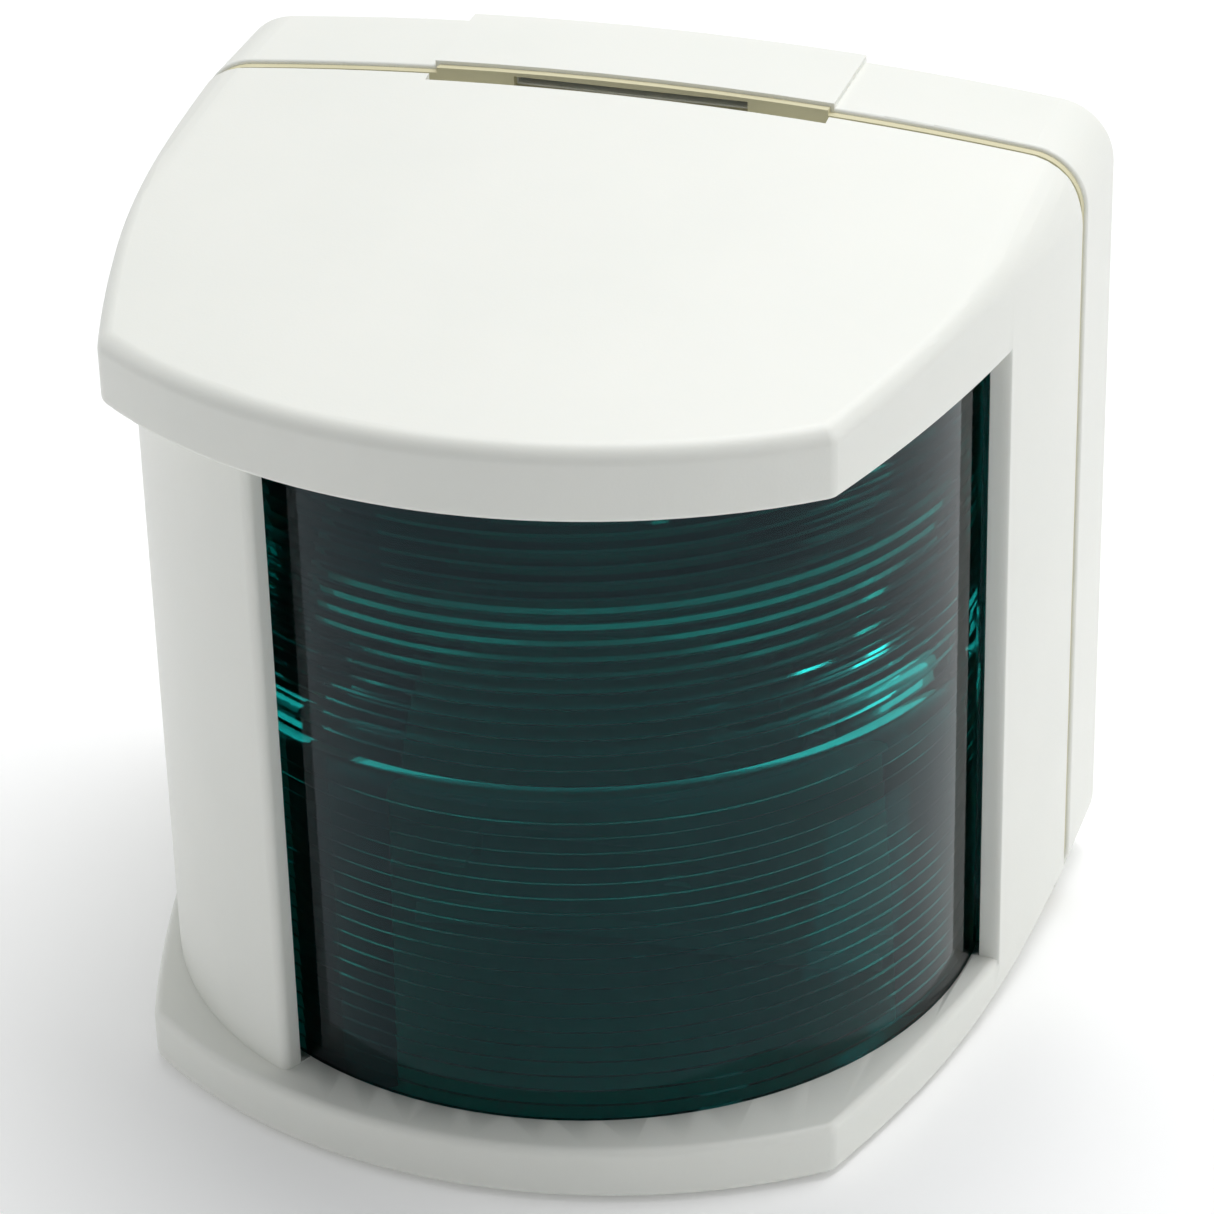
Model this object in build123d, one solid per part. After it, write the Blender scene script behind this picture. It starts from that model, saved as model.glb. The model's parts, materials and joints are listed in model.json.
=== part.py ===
from build123d import *
import os
from math import cos, radians, sin, sqrt

# Starboard side light for a bulkhead, in millimetres.
# Origin: middle of the back face, which bears on the wall. +X ahead, -Y out from the wall, +Z up.

# Overall shape
overall_width = 104.6
overall_height = 100.0  # underside of the lower plate to the crest of the crowned top
top_crown = 3.2  # how much lower the top is at the sides than in the middle
corner_radius = 7.0  # long corners of the casing, seen from the front
smallest_corner = 1.0  # what the long corners come down to when they are drawn in
wall = 2.2  # moulded wall of the shroud
base_wall = 2.4
base_back = 2.5  # thickness of the back plate
base_depth = 13.8  # wall to the rim of the base
rim_round = 0.4  # front edge of the base
back_round = 0.8  # edge of the base that meets the wall
shadow_gap = 2.2  # open groove between base and shroud
overcut = 1.0  # how far a cutting shape runs past what it cuts
run_in = 5.0  # how far behind the shroud the slabs that trim it start

# Front shroud
front_corner_spread = 80.2
front_corner_depth = 74.2  # wall to the two front corners
front_bow = 13.8
side_bow = 2.2
left_corner_radius = 3.0
right_corner_radius = 1.5
hood_drop = 15.6  # crest of the crown to the lower edge of the hood
hood_slope = 0.0987  # fall of the hood's top per millimetre forward
plate_height = 6.5
blind_wall = 2.4
blind_radius = 44.3  # outside of the curved wall that closes the aft sector
blind_centre = (-2.6, -41.0)
blind_edge_angle = -115.0
ahead_wall_depth = 38.0  # wall to the free edge of the ahead wall
notch_half_width = 23.4
notch_depth = 1.4
pad_rise = 0.6
pad_root = 1.5  # how far the pad reaches down into the base's top

# Lens
lens_centre = (0.9, -36.9)
lens_radius = 45.4
lens_thickness = 3.5
lens_fit = 0.15
lens_aft_angle = -122.0
lens_ahead_angle = 4.0
lens_rebate = 1.6  # how far the lens reaches into the hood's soffit
seal_height = 1.5
seal_inset = 0.2  # faces of the lens to the faces of its seals
flange_depth = 2.5
flange_setback = 2.8  # free edge of the ahead wall to the lens flange
flange_inset = 1.67  # chord of the ahead side to the edge of the flange

# Sector screens
screen_gap = 0.4  # lens to screen
screen_thickness = 1.6
screen_depth = 9.0
fin_angle = 2.4
foot_angle = 12.0
foot_height = 1.6
screen_screw_inset = 4.5  # outside of the screen to its screw
screen_screw_radius = 1.25
screen_head_radius = 2.4
head_height = 1.6
screw_floor = 0.6  # plastic left under a blind screw hole
aft_screen = (-113.0, -121.5, -120.2)  # degrees: lit edge, dark edge, fixing screw
ahead_screen = (0.0, 6.5, 9.0)

# Spigot, hinge and latch
spigot_length = 6.2
spigot_wall = 2.0
spigot_clearance = 0.5
shelf = 2.2
hinge_depth = 11.5
hinge_height = 2.3  # above the underside
hinge_spread = 60.0
lug_width = 8.0
lug_radius = 1.9
side_clearance = 0.4
swing_clearance = 0.6
pin_radius = 1.25
running_fit = 0.06
cheek = 3.1
cheek_rise = 0.5
cheek_setback = 3.0  # pin to the back of its cheeks
pin_cover = 0.8  # plastic left outside the end of a hinge pin
tongue_width = 26.0
tongue_thickness = 1.2
tongue_drop = 2.9  # crest of the crown to the tongue's top
tongue_step = 2.7
tongue_clearance = 0.4
nose_reach = 2.5  # spigot's front to the tip of the tongue
nose_length = 1.4
nose_rise = 0.9
nose_inset = 1.0
step_setback = 3.3  # spigot's front to the step in the tongue
trunnion_radius = 1.0
trunnion_depth = 5.0
trunnion_length = 1.9
ear_thickness = 2.2
ear_reach = 2.2
ear_gap = 0.3
ear_top = 1.0  # crest of the crown to the top of the ears
sink = 0.1  # how far a piece is let into the one that it grows from
tongue_sweep = 1.9  # room under the tongue for its travel
release_width = 27.0
release_height = 0.9
release_drop = 0.7  # crest of the crown to the release slot
release_depth = 4.0
release_floor = 5.0  # crest of the crown to the floor of the room behind the slot
finger_room = 1.0
rib_thickness = 1.3
rib_setback = 1.1  # spigot's front to the catch rib
rib_root = 0.6
rib_drop = 4.0  # crest of the crown to the rib's edge

# Housing seal
strip_height = 1.0
strip_inset = 0.45
slot_margin = 0.2

# Mounting and cable
mount_spread = 68.0
mount_rise = 56.0
mount_hole_radius = 2.3
boss_radius = 5.0
boss_height = 1.5
inlet_z = -28.0
inlet_radius = 5.0
grommet_flange = 1.5
grommet_lip = 1.2
cable_radius = 3.0
gasket_inset = 4.0
gasket_depth = 1.0
gasket_width = 3.0
drain_radius = 1.5

# Lamp holder and bulb
focus_height = -4.0
light_centre = 31.75  # filament to the upper bayonet pin
cap_radius = 7.5
cap_length = 17.0
cap_above_pin = 6.75
pin_step = 3.1
bayonet_radius = 1.0
bayonet_reach = 8.7
lock_turn = 18.0
turn_steps = 6
slot_reach = 1.5  # how far a bayonet slot's cut starts inside the shell
mouth_setback = 2.0  # lower edge of the cap to the holder's mouth
holder_fit = 0.3
shell_thickness = 0.8
contact_offset = 3.2
contact_radius = 1.6
contact_height = 0.6
disc_gap = 0.9
plunger_radius = 1.4
plunger_length = 3.0
plunger_fit = 0.06
touch_gap = 0.1
spring_height = 1.4
spring_wire = 0.4
glass_radius = 12.5
glass_thickness = 0.8
glass_drop = 0.5  # filament to the middle of the bowl
neck_radius = 6.8
neck_length = 4.5
neck_seat = 3.0  # how far the glass reaches into the cap
shoulder_angle = 35.0
flank_angle = -40.0
stem_radius = 2.0
stem_length = 13.0
wire_radius = 0.35
inner_wire = 1.6
outer_wire = 3.0
wire_rise = 1.0
tie_height = 0.7
filament_radius = 0.4
filament_half = 2.65

# Bracket, strips and terminals
bracket_half = 13.0
arm_half = 9.0
arm_thickness = 3.0
bracket_thickness = 2.0
bracket_foot = 12.0  # height of the bracket's lower edge
collar = 2.0
rib_depth = 14.0
rib_height = 19.0
rib_offset = 8.0
rib_width = 1.6
bracket_screw_radius = 1.5
bracket_screw_offset = 9.0
bracket_screw_z = 16.0
bracket_head_radius = 2.9
bracket_head = 1.8
screw_cover = 1.2  # wall face to the end of a bracket screw
strip_thickness = 0.5
strip_width = 3.0
strip_clearance = 0.3
strip_drop_y = 6.0
strip_grip = 4.0
block_top = 2.0
block_height = 14.0
block_depth = 10.0
block_half = 9.0
clamp_radius = 1.6
clamp_head_radius = 2.5
clamp_head = 1.4
wire_entry_radius = 1.3
wire_entry_depth = 5.0
wire_entry_setback = 2.0

half_width = overall_width / 2
crest = overall_height / 2
underside = -overall_height / 2
rim_low = crest - hood_drop
shroud_back = base_depth + shadow_gap
reach = front_corner_depth + front_bow + 8
hinge_z = underside + hinge_height
floor = underside + wall
spigot_inset = wall + spigot_clearance
spigot_inner = spigot_inset + spigot_wall
spigot_front = base_depth + spigot_length
screen_outer = lens_radius - lens_thickness - screen_gap
pin_z = focus_height + light_centre
cap_top = pin_z + cap_above_pin
cap_low = cap_top - cap_length
holder_mouth = cap_low + mouth_setback
contact_z = cap_top + contact_height
insulator_low = contact_z + disc_gap
plunger_low = contact_z + touch_gap
plunger_top = plunger_low + plunger_length
insulator_top = plunger_top + spring_height
bracket_top = insulator_top - touch_gap
shell_inner = cap_radius + holder_fit
shell_outer = shell_inner + shell_thickness
neck_top = cap_low + neck_seat
tongue_axis_z = crest - tongue_drop - tongue_thickness / 2
slot_top = crest - release_drop
flange_front = -ahead_wall_depth + flange_setback


def block(x, y, z):
    """A box between two x, two y and two z limits."""
    (x0, x1), (y0, y1), (z0, z1) = sorted(x), sorted(y), sorted(z)
    return Pos((x0 + x1) / 2, (y0 + y1) / 2, (z0 + z1) / 2) * Box(x1 - x0, y1 - y0, z1 - z0)


def around(middle, half):
    """Two limits, the same distance either side of a middle."""
    return middle - half, middle + half


def sheet_block(x, y):
    """A rectangle in plan between two x and two y limits."""
    (x0, x1), (y0, y1) = sorted(x), sorted(y)
    return Pos((x0 + x1) / 2, (y0 + y1) / 2) * Rectangle(x1 - x0, y1 - y0)


def upright(radius, x, y, z0, z1):
    """A round bar along Z."""
    return Pos(x, y, (z0 + z1) / 2) * Cylinder(radius, abs(z1 - z0))


def along_x(radius, x0, x1, y, z):
    """A round bar along X."""
    return Pos((x0 + x1) / 2, y, z) * Rot(0, 90, 0) * Cylinder(radius, abs(x1 - x0))


def along_y(radius, x, y0, y1, z):
    """A round bar along Y."""
    return Pos(x, (y0 + y1) / 2, z) * Rot(90, 0, 0) * Cylinder(radius, abs(y1 - y0))


def group(pieces):
    """Several like pieces as one node of separate solids."""
    return Compound([piece.solid() for piece in pieces])


def front_profile(inset):
    """The casing seen from the front, drawn in by an inset, with its crowned top."""
    half = half_width - inset
    low = underside + inset
    top = crest - inset
    shoulder = top - top_crown
    outline = make_face(
        [
            Line((-half, shoulder), (-half, low)),
            Line((-half, low), (half, low)),
            Line((half, low), (half, shoulder)),
            ThreePointArc((half, shoulder), (0, top), (-half, shoulder)),
        ]
    )
    return fillet(outline.vertices(), max(corner_radius - inset, smallest_corner))


def slab(inset, near, far):
    """The front profile pushed straight out between two depths from the wall."""
    return extrude(Plane.XZ.offset(near) * front_profile(inset), amount=far - near)


def falling_slab(inset, near, far):
    """The front profile pushed out from the shroud's back edge along the hood's slope."""
    start = Plane.XZ.offset(near) * Pos(0, (shroud_back - near) * hood_slope) * front_profile(inset)
    run = (far - near) * sqrt(1 + hood_slope**2)
    return extrude(start, amount=run, dir=(0, -1, -hood_slope))


def bowed(start, end, bow):
    """An arc from start to end that bulges to the right of the way it runs."""
    run = Vector(end) - Vector(start)
    outward = Vector(run.Y, -run.X).normalized()
    middle = (Vector(start) + Vector(end)) / 2 + outward * bow
    return ThreePointArc(start, middle, end)


def shroud_plan():
    """The outline of hood and lower plate seen from above."""
    rear, front = -shroud_back, -front_corner_depth
    half_front = front_corner_spread / 2
    face = make_face(
        [
            bowed((-half_width, rear), (-half_front, front), side_bow),
            bowed((-half_front, front), (half_front, front), front_bow),
            bowed((half_front, front), (half_width, rear), side_bow),
            Line((half_width, rear), (-half_width, rear)),
        ]
    )
    left = face.vertices().group_by(Axis.Y)[0].sort_by(Axis.X)[0]
    face = fillet(left, left_corner_radius)
    right = face.vertices().sort_by_distance((half_front, front, 0))[0]
    return fillet(right, right_corner_radius)


def side_chord(depth):
    """Half the shroud's width at a depth from the wall, not counting the bow of its sides."""
    share = (depth - shroud_back) / (front_corner_depth - shroud_back)
    return half_width + (front_corner_spread / 2 - half_width) * share


def open_plan(inset):
    """The plan drawn in by an inset on the front and sides, and open at the back."""
    inner = offset(shroud_plan(), amount=-inset, kind=Kind.INTERSECTION)
    half = half_width - inset
    return inner + sheet_block((-half, half), (-shroud_back + overcut, -shroud_back - inset - overcut / 2))


def blind_region(radius):
    """Everything inside the curved aft wall at that radius, back to the base."""
    x, y = blind_centre
    disc = Pos(x, y) * Circle(radius)
    return disc + sheet_block((x - radius, 0), (y, -shroud_back + overcut))


def blind_wall_plan():
    """The curved wall that shuts off the aft sector, with its free edge on a radial line."""
    x, y = blind_centre
    far = 3 * blind_radius
    edge = radians(blind_edge_angle)
    corners = [
        (x, y),
        (x + far * cos(edge), y + far * sin(edge)),
        (-far, -far),
        (-far, -shroud_back),
        (x, -shroud_back),
    ]
    sector = make_face(Polyline(*corners, close=True))
    return (blind_region(blind_radius) - blind_region(blind_radius - blind_wall)) & sector


def ahead_wall_plan():
    """The short wall on the ahead side, flush with the hood's side."""
    zone = sheet_block((half_width / 2, half_width + overcut), (-ahead_wall_depth, -shroud_back))
    return (shroud_plan() & zone) - open_plan(blind_wall)


def chamber_plan():
    """The inside of the shroud seen from above: walls, lens seat and open back."""
    x, y = lens_centre
    rear = -shroud_back + overcut
    seat = Pos(x, y) * Circle(lens_radius + lens_fit)
    seat += sheet_block((x, half_width), (flange_front - lens_fit, rear))
    seat += sheet_block((-half_width, x), (y, rear))
    left_limit = blind_region(blind_radius - blind_wall)
    left_limit += sheet_block((blind_centre[0], half_width), (-reach, rear))
    return (seat & left_limit) & open_plan(blind_wall)


def lug(x):
    """One hinge lug of the shroud, reaching back into the base."""
    limits = around(x, lug_width / 2)
    root = -shroud_back - wall
    neck = block(limits, (-hinge_depth, root), around(hinge_z, lug_radius))
    eye = along_x(lug_radius, *limits, -hinge_depth, hinge_z)
    hole = around(x, lug_width / 2 + overcut)
    return neck + eye - along_x(pin_radius + running_fit, *hole, -hinge_depth, hinge_z)


def front_shroud():
    """Hood, lower plate and both side walls, one moulding."""
    near = shroud_back - overcut
    hood = extrude(Pos(0, 0, rim_low) * shroud_plan(), amount=hood_drop + 5)
    hood &= falling_slab(0, shroud_back - run_in, reach)
    plate = extrude(Pos(0, 0, underside) * shroud_plan(), amount=plate_height)
    plate &= slab(0, shroud_back - run_in, reach)
    low, high = underside + plate_height - overcut, rim_low + overcut
    walls = extrude(Pos(0, 0, low) * (blind_wall_plan() + ahead_wall_plan()), amount=high - low)
    cavity = extrude(Pos(0, 0, rim_low + wall) * open_plan(wall), amount=hood_drop)
    cavity &= falling_slab(wall, near, reach - wall)
    chamber = extrude(Pos(0, 0, floor) * chamber_plan(), amount=overall_height)
    chamber &= falling_slab(wall, near, reach - wall)
    chamber &= slab(wall, near, reach)
    pocket = slab(wall, near, spigot_front + spigot_clearance)
    body = hood + plate + walls + rear_frame(low, high) - cavity - chamber - pocket + catch_rib()
    notch = (-notch_half_width, notch_half_width)
    notch_y = (-shroud_back + overcut, -shroud_back - notch_depth)
    body -= block(notch, notch_y, (crest - 2 * wall, crest + overcut))
    for side in (-1, 1):
        body += lug(side * hinge_spread / 2)
    for x, y in screw_points():
        body -= upright(screen_screw_radius, x, y, underside + screw_floor, floor + overcut)
    return body


def rear_frame(low, high):
    """The flange on the aft side that carries the shroud's back edge out to the base's outline."""
    inner = blind_centre[0] - blind_radius + overcut
    zone = shroud_plan() & sheet_block((-half_width, inner), (0, -reach))
    frame = slab(0, shroud_back, spigot_front + spigot_clearance + wall)
    return frame & extrude(Pos(0, 0, low) * zone, amount=high - low)


def catch_rib():
    """The rib under the hood that the latch holds."""
    near = spigot_front - rib_setback
    top = crest - wall - (near - shroud_back) * hood_slope + rib_root
    half = tongue_width / 2 - nose_inset
    return block((-half, half), (-near, -near - rib_thickness), (crest - rib_drop, top))


def lens_ring(outer, inner, start, end, low, high):
    """Part of a ring round the lens's axis between two angles and two heights."""
    x, y = lens_centre
    ring = Circle(outer) - Circle(inner)
    far = 2 * outer
    steps = 4
    rim = [radians(start + (end - start) * i / steps) for i in range(steps + 1)]
    corners = [(0, 0)] + [(far * cos(a), far * sin(a)) for a in rim]
    sector = make_face(Polyline(*corners, close=True))
    return extrude(Pos(x, y, low) * (ring & sector), amount=high - low)


def lens():
    """The curved window with the straight flange that hides behind the ahead wall."""
    low, high = floor + seal_height, rim_low + lens_rebate
    inner = lens_radius - lens_thickness
    window = lens_ring(lens_radius, inner, lens_aft_angle, lens_ahead_angle, low, high)
    edge = side_chord(-flange_front) - flange_inset
    flange_y = (flange_front, flange_front + flange_depth)
    return window + block((lens_centre[0] + inner, edge), flange_y, (low, high))


def lens_seals():
    """Soft strips under and over the lens."""
    top = rim_low + lens_rebate
    outer = lens_radius - seal_inset
    inner = lens_radius - lens_thickness + seal_inset
    levels = [(floor, floor + seal_height), (top, top + seal_height)]
    return group([lens_ring(outer, inner, lens_aft_angle, lens_ahead_angle, *z) for z in levels])


def screen_place(angle):
    """Where a screen's screw stands, in plan, at an angle about the lens's axis."""
    x, y = lens_centre
    radius = screen_outer - screen_screw_inset
    return x + radius * cos(radians(angle)), y + radius * sin(radians(angle))


def screw_points():
    """The two screen screws, in plan."""
    return [screen_place(aft_screen[2]), screen_place(ahead_screen[2])]


def sector_screen(lit, dark, screw_angle):
    """A matt black screen: a strip behind the lens's edge, a fin inwards and a screwed foot."""
    low, high = floor, rim_low + lens_rebate
    turn = 1 if dark > lit else -1
    inner = screen_outer - screen_depth
    strip = lens_ring(screen_outer, screen_outer - screen_thickness, *sorted((lit, dark)), low, high)
    fin = lens_ring(screen_outer, inner, *sorted((lit, lit + turn * fin_angle)), low, high)
    foot_limits = sorted((lit, lit + turn * foot_angle))
    foot = lens_ring(screen_outer, inner, *foot_limits, low, low + foot_height)
    x, y = screen_place(screw_angle)
    return strip + fin + foot - upright(screen_screw_radius, x, y, low - overcut, low + 2 * foot_height)


def screen_screws():
    """Two pan-head screws."""
    seat = floor + foot_height
    return group(
        [
            upright(screen_screw_radius, x, y, underside + screw_floor, seat)
            + upright(screen_head_radius, x, y, seat, seat + head_height)
            for x, y in screw_points()
        ]
    )


def mount_points():
    """The four screw positions on the back plate."""
    return [(sx * mount_spread / 2, sz * mount_rise / 2) for sx in (-1, 1) for sz in (-1, 1)]


def gasket_ring():
    """The recess in the back face that holds the wall gasket."""
    inner = slab(gasket_inset + gasket_width, -overcut, gasket_depth + overcut)
    return slab(gasket_inset, 0, gasket_depth) - inner


def trunnion_lugs():
    """Two small ears that carry the latch tongue's trunnions."""
    ear_y = (-base_back + sink, -trunnion_depth - ear_reach)
    ear_z = (tongue_axis_z - ear_reach, crest - ear_top)
    inner = tongue_width / 2 + ear_gap
    ears = [block((side * inner, side * (inner + ear_thickness)), ear_y, ear_z) for side in (-1, 1)]
    return ears[0] + ears[1]


def rounded_slab():
    """The base's outside, with its front and back edges rounded."""
    body = slab(0, 0, base_depth)
    front = fillet(body.edges().group_by(Axis.Y)[0], rim_round)
    return fillet(front.edges().group_by(Axis.Y)[-1], back_round)


def mounting_base():
    """The tray that is screwed to the wall, with spigot, hinge cheeks and latch seat."""
    body = rounded_slab() - slab(base_wall, base_back, base_depth - shelf)
    body -= slab(spigot_inner, base_back, base_depth + overcut)
    spigot = slab(spigot_inset, base_depth - shelf, spigot_front)
    body += spigot - slab(spigot_inner, base_depth - shelf - overcut, spigot_front + overcut)
    pad = block(around(0, notch_half_width), (0, -base_depth), (crest - pad_root, crest + wall))
    body += slab(-pad_rise, 0, base_depth) & pad
    for x, z in mount_points():
        body += along_y(boss_radius, x, -base_back + sink, -base_back - boss_height, z)
    body += trunnion_lugs()
    for side in (-1, 1):
        body += hinge_cheeks(side * hinge_spread / 2)
    for x, z in mount_points():
        body -= along_y(mount_hole_radius, x, overcut, -base_back - boss_height - overcut, z)
    body -= gasket_ring()
    body -= latch_opening()
    for side in (-1, 1):
        body -= hinge_pocket(side * hinge_spread / 2)
    body -= along_y(inlet_radius, lens_centre[0], overcut, -base_back - overcut, inlet_z)
    body -= upright(drain_radius, 0, -base_depth / 2, underside - overcut, underside + base_wall + overcut)
    for x, z in bracket_screw_points():
        body -= along_y(bracket_screw_radius, x, -screw_cover, -base_back - overcut, z)
    return body


def hinge_cheeks(x):
    """Solid cheeks either side of a hinge lug."""
    half = lug_width / 2 + side_clearance + cheek
    top = underside + spigot_inner + cheek_rise
    both = block(around(x, half), (-hinge_depth + cheek_setback, -base_depth), (underside, top))
    return both & slab(0, 0, base_depth)


def hinge_pocket(x):
    """Room for a hinge lug to turn, and the hole for its pin."""
    inner = lug_width / 2 + side_clearance
    room = lug_radius + swing_clearance
    pocket_y = (-hinge_depth + room, -spigot_front - overcut)
    pocket = block(around(x, inner), pocket_y, (underside - overcut, hinge_z + room))
    return pocket + hinge_pin(x)


def hinge_pin(x):
    """One hinge pin, in its blind holes."""
    half = lug_width / 2 + side_clearance + cheek - pin_cover
    return along_x(pin_radius, *around(x, half), -hinge_depth, hinge_z)


def hinge_pins():
    """Two stainless hinge pins."""
    return group([hinge_pin(x) for x in around(0, hinge_spread / 2)])


def release_slot():
    """The finger slot in the rim of the base."""
    depth = (-base_depth - 2 * strip_height, -base_depth + release_depth)
    return block(around(0, release_width / 2), depth, (slot_top - release_height, slot_top))


def latch_opening():
    """The release slot, the room behind it, the tongue's way through, and the trunnion holes."""
    opening = release_slot()
    room_y = (-base_depth + shelf - tongue_clearance, -base_depth + release_depth + 2 * finger_room)
    room_z = (crest - release_floor, slot_top)
    opening += block(around(0, release_width / 2 + finger_room), room_y, room_z)
    low = crest - tongue_drop - tongue_thickness - tongue_step - tongue_sweep
    way_y = (-base_depth + shelf + side_clearance, -spigot_front - overcut)
    way_z = (low, crest - tongue_drop + tongue_clearance)
    opening += block(around(0, tongue_width / 2 + side_clearance), way_y, way_z)
    return opening + trunnion(trunnion_radius + running_fit, trunnion_length + sink)


def trunnion(radius, length):
    """The bar through both trunnions."""
    return along_x(radius, *around(0, tongue_width / 2 + length), -trunnion_depth, tongue_axis_z)


def latch_tongue():
    """The springy tongue: flat under the slot, stepped down, with a nose at its tip."""
    top = crest - tongue_drop
    low = top - tongue_thickness
    step_low = low - tongue_step
    tip = -spigot_front - nose_reach
    step_y = -spigot_front + step_setback
    limits = around(0, tongue_width / 2)
    tongue = block(limits, (-trunnion_depth, step_y), (low, top))
    tongue += block(limits, (step_y + tongue_thickness, step_y), (step_low, top))
    tongue += block(limits, (step_y + tongue_thickness, tip), (step_low, step_low + tongue_thickness))
    nose_top = step_low + tongue_thickness + nose_rise
    nose_x = around(0, tongue_width / 2 - nose_inset)
    tongue += block(nose_x, (tip + nose_length, tip), (step_low, nose_top))
    return tongue + trunnion(trunnion_radius, trunnion_length)


def housing_seal():
    """A pale strip glued to the rim of the base, in the shadow gap."""
    top = base_depth + strip_height
    ring = slab(strip_inset, base_depth, top)
    pad = block(around(0, notch_half_width - strip_inset), (0, -reach), (0, crest + wall))
    ring += slab(strip_inset - pad_rise, base_depth, top) & pad
    ring -= slab(spigot_inset, base_depth - overcut, top + overcut)
    ring -= latch_opening()
    slot_z = around(slot_top - release_height / 2, release_height / 2 + slot_margin)
    ring -= block(around(0, release_width / 2 + slot_margin), (0, -reach), slot_z)
    for x in around(0, hinge_spread / 2):
        inner = lug_width / 2 + side_clearance + swing_clearance
        ring -= block(around(x, inner), (0, -spigot_front), (underside - overcut, 0))
    return ring


def bracket_screw_points():
    """Where the two bracket screws go, on the back plate."""
    return [(x, bracket_screw_z) for x in around(lens_centre[0], bracket_screw_offset)]


def cable_grommet():
    """A rubber grommet with the cable's hole."""
    x = lens_centre[0]
    flange_face = -base_back - grommet_lip
    body = along_y(inlet_radius, x, 0, -base_back, inlet_z)
    body += along_y(inlet_radius + grommet_flange, x, -base_back, flange_face, inlet_z)
    return body - along_y(cable_radius, x, overcut, flange_face - overcut, inlet_z)


def socket_bracket():
    """The bracket that carries the lamp holder out from the back plate."""
    x, y = lens_centre
    top = bracket_top
    face = -base_back - bracket_thickness
    bracket = block(around(x, arm_half), (y, -base_back), (top - arm_thickness, top))
    bracket += upright(shell_outer + collar, x, y, top - arm_thickness, top)
    bracket -= upright(shell_outer, x, y, top - arm_thickness - overcut, top + overcut)
    bracket += block(around(x, bracket_half), (-base_back, face), (bracket_foot, top))
    root, rib_top = face + overcut, top - overcut
    corners = [(root, rib_top), (root, rib_top - rib_height), (face - rib_depth, rib_top)]
    rib = make_face(Polyline(*corners, close=True))
    for rib_x in around(x, rib_offset):
        bracket += Pos(rib_x - rib_width / 2, 0, 0) * extrude(Plane.YZ * rib, amount=rib_width)
    drop_y = (-strip_drop_y + strip_clearance, -strip_drop_y - strip_thickness - strip_clearance)
    for contact_x, _ in contact_points():
        bracket -= block(around(contact_x, strip_width / 2 + strip_clearance), drop_y, (0, crest))
    for screw_x, screw_z in bracket_screw_points():
        bracket -= along_y(bracket_screw_radius, screw_x, 0, face - overcut, screw_z)
    return bracket


def bracket_screws():
    """Two pan-head screws that hold the bracket."""
    face = -base_back - bracket_thickness
    return group(
        [
            along_y(bracket_screw_radius, x, -screw_cover, face, z)
            + along_y(bracket_head_radius, x, face, face - bracket_head, z)
            for x, z in bracket_screw_points()
        ]
    )


def bayonet_slot(angle, height):
    """A J slot from the holder's mouth up to a pin and round to its locked place."""
    x, y = lens_centre
    half = bayonet_radius + holder_fit
    across = (shell_inner - slot_reach, shell_outer + overcut)
    entry = block(across, (-half, half), (holder_mouth - overcut, height + half))
    along = block(across, (-half, half), around(height, half))
    turns = [Rot(0, 0, angle - lock_turn * i / turn_steps) for i in range(turn_steps + 1)]
    slot = turns[-1] * entry
    for turn in turns:
        slot += turn * along
    return Pos(x, y, 0) * slot


def socket_shell():
    """The plated bayonet shell, open downwards."""
    x, y = lens_centre
    shell = upright(shell_outer, x, y, holder_mouth, insulator_low)
    shell -= upright(shell_inner, x, y, holder_mouth - overcut, insulator_low + overcut)
    shell -= bayonet_slot(90, pin_z)
    return shell - bayonet_slot(-90, pin_z - pin_step)


def contact_points():
    """The two contacts, in plan."""
    return [(x, lens_centre[1]) for x in around(lens_centre[0], contact_offset)]


def socket_insulator():
    """The moulded disc that guides the contact plungers."""
    disc = upright(shell_outer, *lens_centre, insulator_low, insulator_top)
    bore = plunger_radius + plunger_fit
    for x, y in contact_points():
        disc -= upright(bore, x, y, insulator_low - overcut, insulator_top + overcut)
    return disc


def contact_plungers():
    """Two brass contact plungers."""
    return group([upright(plunger_radius, x, y, plunger_low, plunger_top) for x, y in contact_points()])


def plunger_springs():
    """Two small springs above the plungers, as plain sleeves."""
    bore = plunger_radius - spring_wire
    return group(
        [
            upright(plunger_radius, x, y, plunger_top, insulator_top)
            - upright(bore, x, y, plunger_top - overcut, insulator_top + overcut)
            for x, y in contact_points()
        ]
    )


def feed_strips():
    """Two brass strips from the terminal block to the springs."""
    half = strip_width / 2
    top = insulator_top + strip_thickness
    back = -strip_drop_y - strip_thickness
    return group(
        [
            block(around(x, half), (y - half, -strip_drop_y), (insulator_top, top))
            + block(around(x, half), (-strip_drop_y, back), (block_top - strip_grip, top))
            for x, y in contact_points()
        ]
    )


def terminal_block():
    """A two-way terminal block on the back plate."""
    low = block_top - block_height
    front = -base_back - block_depth
    back = -strip_drop_y - strip_thickness
    body = block(around(lens_centre[0], block_half), (-base_back, front), (low, block_top))
    strip_z = (block_top - strip_grip, block_top + overcut)
    for x, _ in contact_points():
        body -= block(around(x, strip_width / 2), (-strip_drop_y, back), strip_z)
        body -= along_y(clamp_radius, x, back, front - overcut, low + block_height / 2)
        entry_y = -strip_drop_y - wire_entry_setback
        body -= upright(wire_entry_radius, x, entry_y, low - overcut, low + wire_entry_depth)
    return body


def terminal_screws():
    """Two brass clamping screws."""
    front = -base_back - block_depth
    back = -strip_drop_y - strip_thickness
    z = block_top - block_height / 2
    return group(
        [
            along_y(clamp_radius, x, back, front, z)
            + along_y(clamp_head_radius, x, front, front - clamp_head, z)
            for x, _ in contact_points()
        ]
    )


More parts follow.
